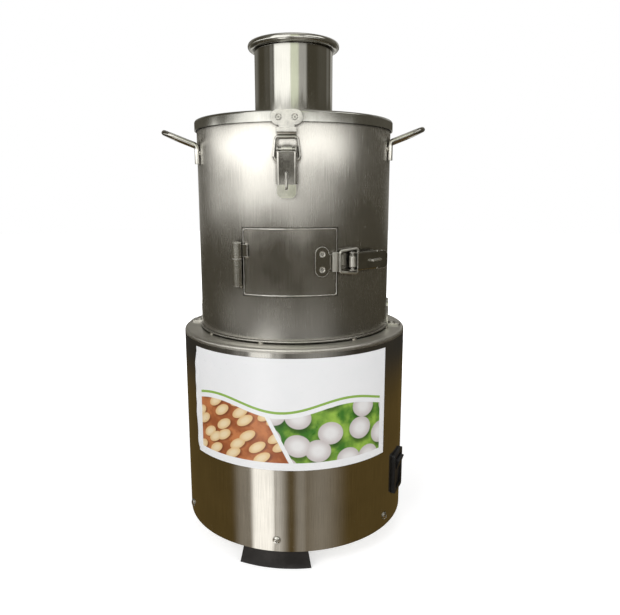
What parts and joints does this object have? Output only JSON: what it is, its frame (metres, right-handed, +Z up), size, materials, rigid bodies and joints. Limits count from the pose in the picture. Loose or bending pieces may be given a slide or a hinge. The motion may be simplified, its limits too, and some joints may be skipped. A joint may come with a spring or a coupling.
{
  "type": "garlic peeling machine",
  "caption": "Upright stainless garlic peeler: round motor base, peeling barrel with hinged lid and feed tube, side door, draw latches, carrying handles and rocker switch.",
  "frame": {"origin": "on the standing surface, on the axis of the barrel", "axes": "+Z up along the axis of the barrel, -Y to the front with the door and the latches, +X to the side of the switch"},
  "size_m": [0.2776, 0.256, 0.5351],
  "materials": {
    "stainless_sheet": "stainless sheet with a fine upright brushed grain",
    "bright_steel": "bright stainless, lightly polished",
    "polished_steel": "polished stainless tube",
    "fasteners": "zinc-bright hardware",
    "black_rubber": "matt moulded rubber",
    "black_plastic": "moulded black plastic",
    "white_plastic": "plain white plastic can",
    "white_silicone": "soft silicone strip",
    "label_paper": "glossy printed sheet",
    "cast_alloy": "as cast",
    "lamination_steel": "stacked steel sheet",
    "copper_wire": "enamelled copper",
    "painted_cowl": "grey painted sheet"
  },
  "bodies": {
    "machine": {"base_shell": "stainless_sheet", "base_deck": "stainless_sheet", "base_floor": "stainless_sheet", "skirt_screws": "fasteners", "rubber_feet": "black_rubber", "foot_bolts": "fasteners", "foot_nuts": "fasteners", "label_sheet": "label_paper", "switch_bezel": "black_plastic", "switch_body": "black_plastic", "cord_gland": "black_plastic", "gland_nut": "black_plastic", "motor_can": "cast_alloy", "stator_core": "lamination_steel", "stator_windings": "copper_wire", "motor_top_bell": "cast_alloy", "motor_bottom_bell": "cast_alloy", "motor_bearings": "fasteners", "motor_bolts": "fasteners", "fan_cowl": "painted_cowl", "run_capacitor": "white_plastic", "capacitor_clip": "bright_steel", "barrel_shell": "stainless_sheet", "barrel_floor": "stainless_sheet", "shaft_seal": "black_rubber", "left_handle": "bright_steel", "right_handle": "bright_steel", "hold_down_brackets": "bright_steel", "bracket_bolts": "fasteners", "bracket_nuts": "fasteners", "door_stop_frame": "stainless_sheet", "door_hinge_base": "bright_steel", "door_hinge_pin": "bright_steel", "door_latch_plate": "bright_steel", "latch_rivets": "fasteners", "lever_pins": "fasteners", "lid_latch_plate": "bright_steel", "barrel_hinge_leaf": "bright_steel", "lid_hinge_pin": "bright_steel"},
    "lid": {"lid_plate": "stainless_sheet", "lid_gasket": "white_silicone", "feed_tube": "polished_steel", "lid_catch": "bright_steel", "lid_catch_rivets": "fasteners", "lid_hinge_leaf": "bright_steel"},
    "door": {"door_panel": "stainless_sheet", "door_hinge_cap": "bright_steel", "door_catch": "bright_steel", "door_catch_rivets": "fasteners"},
    "lid_latch_lever": {"lid_lever": "bright_steel"},
    "lid_latch_bail": {"lid_bail": "bright_steel"},
    "door_latch_lever": {"door_lever": "bright_steel"},
    "door_latch_bail": {"door_bail": "bright_steel"},
    "rotor": {"motor_shaft": "bright_steel", "motor_rotor": "lamination_steel", "motor_fan": "black_plastic", "rotor_hub": "bright_steel", "peeling_disc": "stainless_sheet", "rotor_nut": "bright_steel"},
    "switch_rocker": {"rocker": "black_plastic"}
  },
  "joints": [
    {"name": "lid_hinge", "type": "hinge", "parent": "machine", "child": "lid", "pos_m": [0, 0.1104, 0.4406], "axis": [-1, 0, 0], "range_deg": [0, 110]},
    {"name": "door_hinge", "type": "hinge", "parent": "machine", "child": "door", "pos_m": [-0.05622, -0.09431, 0.312], "axis": [0, 0, -1], "range_deg": [0, 115]},
    {"name": "lid_lever_pivot", "type": "hinge", "parent": "machine", "child": "lid_latch_lever", "pos_m": [-0.00668, -0.1093, 0.4176], "axis": [-0.9981, 0.061, 0], "range_deg": [0, 100]},
    {"name": "lid_bail_pivot", "type": "hinge", "parent": "lid_latch_lever", "child": "lid_latch_bail", "pos_m": [-0.00662, -0.1083, 0.4086], "axis": [-0.9981, 0.061, 0], "range_deg": [-150, 0]},
    {"name": "door_lever_pivot", "type": "hinge", "parent": "machine", "child": "door_latch_lever", "pos_m": [0.057, -0.09678, 0.3125], "axis": [0, 0, -1], "range_deg": [0, 100]},
    {"name": "door_bail_pivot", "type": "hinge", "parent": "door_latch_lever", "child": "door_latch_bail", "pos_m": [0.06286, -0.08987, 0.3125], "axis": [0, 0, -1], "range_deg": [-150, 0]},
    {"name": "rotor_spin", "type": "hinge", "parent": "machine", "child": "rotor", "pos_m": [0, 0, 0.2645], "axis": [0, 0, 1], "continuous": true},
    {"name": "rocker_tilt", "type": "hinge", "parent": "machine", "child": "switch_rocker", "pos_m": [0.11012, -0.05135, 0.072], "axis": [-0.4226, -0.9063, 0], "range_deg": [0, 20]}
  ],
  "couplings": [
    {"joint": "lid_bail_pivot", "follows": "lid_lever_pivot", "ratio": -1.5},
    {"joint": "door_bail_pivot", "follows": "door_lever_pivot", "ratio": -1.5}
  ]
}
